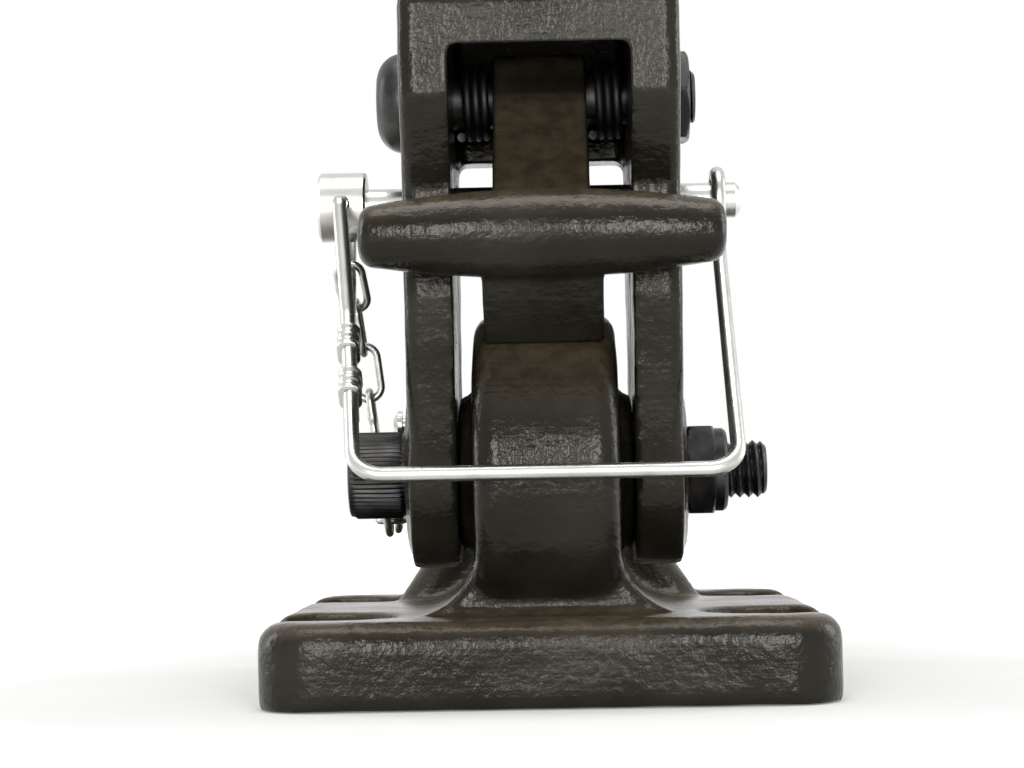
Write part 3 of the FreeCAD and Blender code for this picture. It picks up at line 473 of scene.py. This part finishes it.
def makeNut(nodeName, form, turning):
    low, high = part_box(nodeName)
    centre = (low + high) / 2
    hexagon = hexRadius(form["flats"])
    faceRadius = form["flats"] / 2 * turning["faceShare"]

    def turnedOff(depth):
        return lambda angle: min(hexagon(angle), faceRadius + depth * turning["slope"])
    top = low.x + form["hexHigh"]
    steps = turning["steps"]
    rings = [(low.x, form["bore"])]
    rings += [(low.x + step * mm, turnedOff(step * mm)) for step in steps]
    rings += [(top - step * mm, turnedOff(step * mm)) for step in reversed(steps)]
    if form["collar"]:
        rings.append((top, form["collar"]))
        rings += [(high.x - down, form["collar"] - inward) for down, inward in collarRound]
        rings += [(high.x, form["ring"]), (top, form["ring"])]
    rings.append((top, form["bore"]))
    vertices = []
    around = turning["around"]
    for along, radius in rings:
        for spot in range(around):
            angle = 2 * math.pi * spot / around
            reach = radius(angle + math.pi / 2) if callable(radius) else radius
            vertices.append((along, centre.y + reach * math.cos(angle), centre.z + reach * math.sin(angle)))
    faces = ringFaces(len(rings), around, False) + joinEnds(len(rings), around)  # the join is the bore's wall
    piece = addPiece(nodeName + "Turned", vertices, faces, nodeName)
    faceOutward(piece)
    sharpen(piece, turning["sharpAngle"])
    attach(piece, bodyOf[nodeName])


for nutName, form in nuts.items():
    makeNut(nutName, form, nutTurning)
print("nuts made")


# tether chain: every link keeps the CAD link's place, with a rounder wire and a weld

chainForm = {"wire": 0.85 * mm, "along": 56, "around": 14, "weld": 0.22 * mm, "weldLong": 0.9 * mm}


def linkPath(node, form):
    points = np.array([v.co for v in node.data.vertices], float)
    middle = (points.max(0) + points.min(0)) / 2
    for _ in range(2):  # long, wide and thin directions of the link
        _, _, axes = np.linalg.svd(points - middle, full_matrices=False)
        spans = (points - middle) @ axes.T
        middle = middle + (spans.max(0) + spans.min(0)) / 2 @ axes
    spans = (points - middle) @ axes.T
    longHalf, wideHalf, _ = (spans.max(0) - spans.min(0)) / 2
    end = wideHalf - form["wire"]
    straight = longHalf - wideHalf
    perimeter = 4 * straight + 2 * math.pi * end
    path = []
    for step in range(form["along"]):
        run = perimeter * step / form["along"]
        if run < 2 * straight:
            spot, side = (run - straight, end), (0, 1)
        elif run < 2 * straight + math.pi * end:
            turn = (run - 2 * straight) / end
            side = (math.sin(turn), math.cos(turn))
            spot = (straight + end * side[0], end * side[1])
        elif run < 4 * straight + math.pi * end:
            spot, side = (straight - (run - 2 * straight - math.pi * end), -end), (0, -1)
        else:
            turn = (run - 4 * straight - math.pi * end) / end
            side = (-math.sin(turn), -math.cos(turn))
            spot = (-straight + end * side[0], end * side[1])
        weld = math.exp(-((run - straight) / form["weldLong"]) ** 2) * form["weld"]
        path.append((middle + spot[0] * axes[0] + spot[1] * axes[1], side[0] * axes[0] + side[1] * axes[1],
                     axes[2], form["wire"] + weld))
    return path


def makeChain(form):
    links = sorted(name for name in cadNodes if name.startswith("chain_link"))
    vertices = []
    faces = []
    for name in links:
        first = len(vertices)
        path = linkPath(cadNodes[name], form)
        for spot, outward, flat, radius in path:
            for step in range(form["around"]):
                angle = 2 * math.pi * step / form["around"]
                vertices.append(spot + radius * (math.cos(angle) * outward + math.sin(angle) * flat))
        rings = ringFaces(len(path), form["around"], False) + joinEnds(len(path), form["around"])
        faces += [tuple(first + corner for corner in face) for face in rings]
    chain = addPiece("tetherChain", vertices, faces, links[0])
    faceOutward(chain)
    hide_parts(*links)
    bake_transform(chain)
    print("chain of", len(links), "links")


makeChain(chainForm)


# crimped sleeves: oval tubes with two dents each

ferruleForm = {"long": 6.0 * mm, "half": 2.52 * mm, "spread": 1.68 * mm, "rim": 0.35 * mm,
               "dent": 0.32 * mm, "dentLong": 0.8 * mm, "dentsAt": (0.3, 0.7),
               "steps": 26, "around": 56, "flat": 1e-6, "sharpAngle": 50,
               "legLow": (-62.5 * mm, 48.0 * mm), "legHigh": (-14.0 * mm, 108.6 * mm)}


def makeFerrule(nodeName, form):
    low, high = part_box(nodeName)
    centre = (low + high) / 2
    lowY, lowZ = form["legLow"]
    highY, highZ = form["legHigh"]
    along = Vector((0, highY - lowY, highZ - lowZ)).normalized()
    across = Vector((0, along.z, -along.y))
    side = Vector((1, 0, 0))
    vertices = []
    for step in range(form["steps"] + 1):
        share = step / form["steps"]
        reach = form["long"] * (share - 0.5)
        edge = min(share, 1 - share) * form["long"]
        shrink = max(0.0, form["rim"] - edge)
        for dentAt in form["dentsAt"]:
            shrink += form["dent"] * math.exp(-((share - dentAt) * form["long"] / form["dentLong"]) ** 2)
        for spot in range(form["around"]):
            angle = 2 * math.pi * spot / form["around"]
            wide = 0.0
            if abs(math.cos(angle)) > form["flat"]:  # two half rounds with a flat between them
                wide = math.copysign(form["spread"], math.cos(angle))
            radius = form["half"] - shrink
            vertices.append(centre + along * reach + across * (wide + radius * math.cos(angle))
                            + side * radius * math.sin(angle))
    faces = ringFaces(form["steps"] + 1, form["around"], True)
    piece = addPiece(nodeName + "Crimped", vertices, faces, nodeName)
    faceOutward(piece)
    sharpen(piece, form["sharpAngle"])
    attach(piece, bodyOf[nodeName])


for ferruleName in ("ferrule_upper", "ferrule_lower"):
    makeFerrule(ferruleName, ferruleForm)
print("sleeves crimped")


# floor, background, lights, camera

def seenDirectly(tree):  # rays from the eye, and those that metal sends on
    path = tree.nodes.new("ShaderNodeLightPath")
    seen = addMath(tree, "MAXIMUM", path.outputs["Is Camera Ray"], path.outputs["Is Glossy Ray"])
    return addMath(tree, "MAXIMUM", seen, path.outputs["Is Transmission Ray"])


floorLook = {"color": (0.80, 0.80, 0.79), "speck": (0.76, 0.76, 0.75), "grain": 60.0, "rough": 0.8,
             "half": 2.5, "below": 0.2 * mm, "fade": (0.12, 0.55), "glow": (0.14, 1.0)}


def makeFloor(look):
    half = look["half"]
    mesh = bpy.data.meshes.new("floor")
    corners = [(-half, -half, 0), (half, -half, 0), (half, half, 0), (-half, half, 0)]
    mesh.from_pydata(corners, [], [(0, 1, 2, 3)])
    floor = bpy.data.objects.new("floor", mesh)
    floor.location.z = -look["below"]
    bpy.context.scene.collection.objects.link(floor)
    material, tree, shader = newMaterial("floorPaper", look["color"], 0.0, look["rough"])
    grain = addNoise(tree, look["grain"])
    tree.links.new(mixColor(tree, grain, look["color"], look["speck"]), shader.inputs["Base Color"])
    # the paper has a painted glow, seen by camera and glossy rays: weak near the hitch so the paper keeps the
    # shadow there, rising to white away from it
    where = tree.nodes.new("ShaderNodeTexCoord")
    away = tree.nodes.new("ShaderNodeVectorMath")
    away.operation = "LENGTH"
    tree.links.new(where.outputs["Object"], away.inputs[0])
    fade = addRange(tree, away.outputs["Value"], *look["fade"], *look["glow"])
    shader.inputs["Emission Color"].default_value = (1, 1, 1, 1)
    tree.links.new(addMath(tree, "MULTIPLY", fade, seenDirectly(tree)), shader.inputs["Emission Strength"])
    mesh.materials.append(material)


backgroundLook = {"seen": (1.0, 1.0, 1.0), "seenStrength": 1.0,
                  "fill": (1.0, 0.98, 0.94), "fillStrength": 0.25}


def makeBackground(look):
    world = bpy.data.worlds.new("studio")
    bpy.context.scene.world = world
    world.use_nodes = True
    tree = world.node_tree
    tree.nodes.clear()
    output = tree.nodes.new("ShaderNodeOutputWorld")
    seen = tree.nodes.new("ShaderNodeBackground")
    seen.inputs["Color"].default_value = (*look["seen"], 1)
    seen.inputs["Strength"].default_value = look["seenStrength"]
    fill = tree.nodes.new("ShaderNodeBackground")
    fill.inputs["Color"].default_value = (*look["fill"], 1)
    fill.inputs["Strength"].default_value = look["fillStrength"]
    pick = tree.nodes.new("ShaderNodeMixShader")
    tree.links.new(seenDirectly(tree), pick.inputs["Fac"])
    tree.links.new(fill.outputs[0], pick.inputs[1])
    tree.links.new(seen.outputs[0], pick.inputs[2])
    tree.links.new(pick.outputs[0], output.inputs["Surface"])


lights = {
    "softboxLeft": {"at": (-0.27, -1.15, 0.28), "size": (0.24, 0.5), "power": 6.0},
    "softboxRight": {"at": (0.27, -1.15, 0.28), "size": (0.24, 0.5), "power": 6.0},
    "overhead": {"at": (0.0, -0.1, 1.0), "size": (0.8, 0.5), "power": 5.5},
    "rimLeft": {"at": (-0.9, 0.25, 0.35), "size": (0.3, 0.6), "power": 2.5},
    "rimRight": {"at": (0.9, 0.25, 0.35), "size": (0.3, 0.6), "power": 2.5},
}
lightAim = Vector((0, 0, 0.1))


def makeLight(name, form):
    data = bpy.data.lights.new(name, "AREA")
    data.shape = "RECTANGLE"
    data.size, data.size_y = form["size"]
    data.energy = form["power"]
    lamp = bpy.data.objects.new(name, data)
    lamp.location = form["at"]
    aim = lightAim - lamp.location
    lamp.rotation_euler = aim.to_track_quat("-Z", "Y").to_euler()
    bpy.context.scene.collection.objects.link(lamp)


cameraForm = {"at": (0.0, -0.556, 0.046), "pitch": 2.33, "yaw": 0.78, "roll": -1.05,
              "lens": 84.8, "sensor": 36.0, "nearest": 0.01}


def makeCamera(form):
    data = bpy.data.cameras.new("photoCamera")
    data.lens = form["lens"]
    data.sensor_width = form["sensor"]
    data.clip_start = form["nearest"]
    camera = bpy.data.objects.new("photoCamera", data)
    turn = Matrix.Rotation(math.radians(form["yaw"]), 4, "Z")
    turn = turn @ Matrix.Rotation(math.radians(90 + form["pitch"]), 4, "X")
    turn = turn @ Matrix.Rotation(math.radians(form["roll"]), 4, "Z")
    camera.matrix_world = Matrix.Translation(form["at"]) @ turn
    bpy.context.scene.collection.objects.link(camera)
    bpy.context.scene.camera = camera


makeFloor(floorLook)
makeBackground(backgroundLook)
for lightName, form in lights.items():
    makeLight(lightName, form)
makeCamera(cameraForm)
bpy.context.scene.view_settings.view_transform = "Standard"
print("studio set")

bpy.context.view_layer.update()
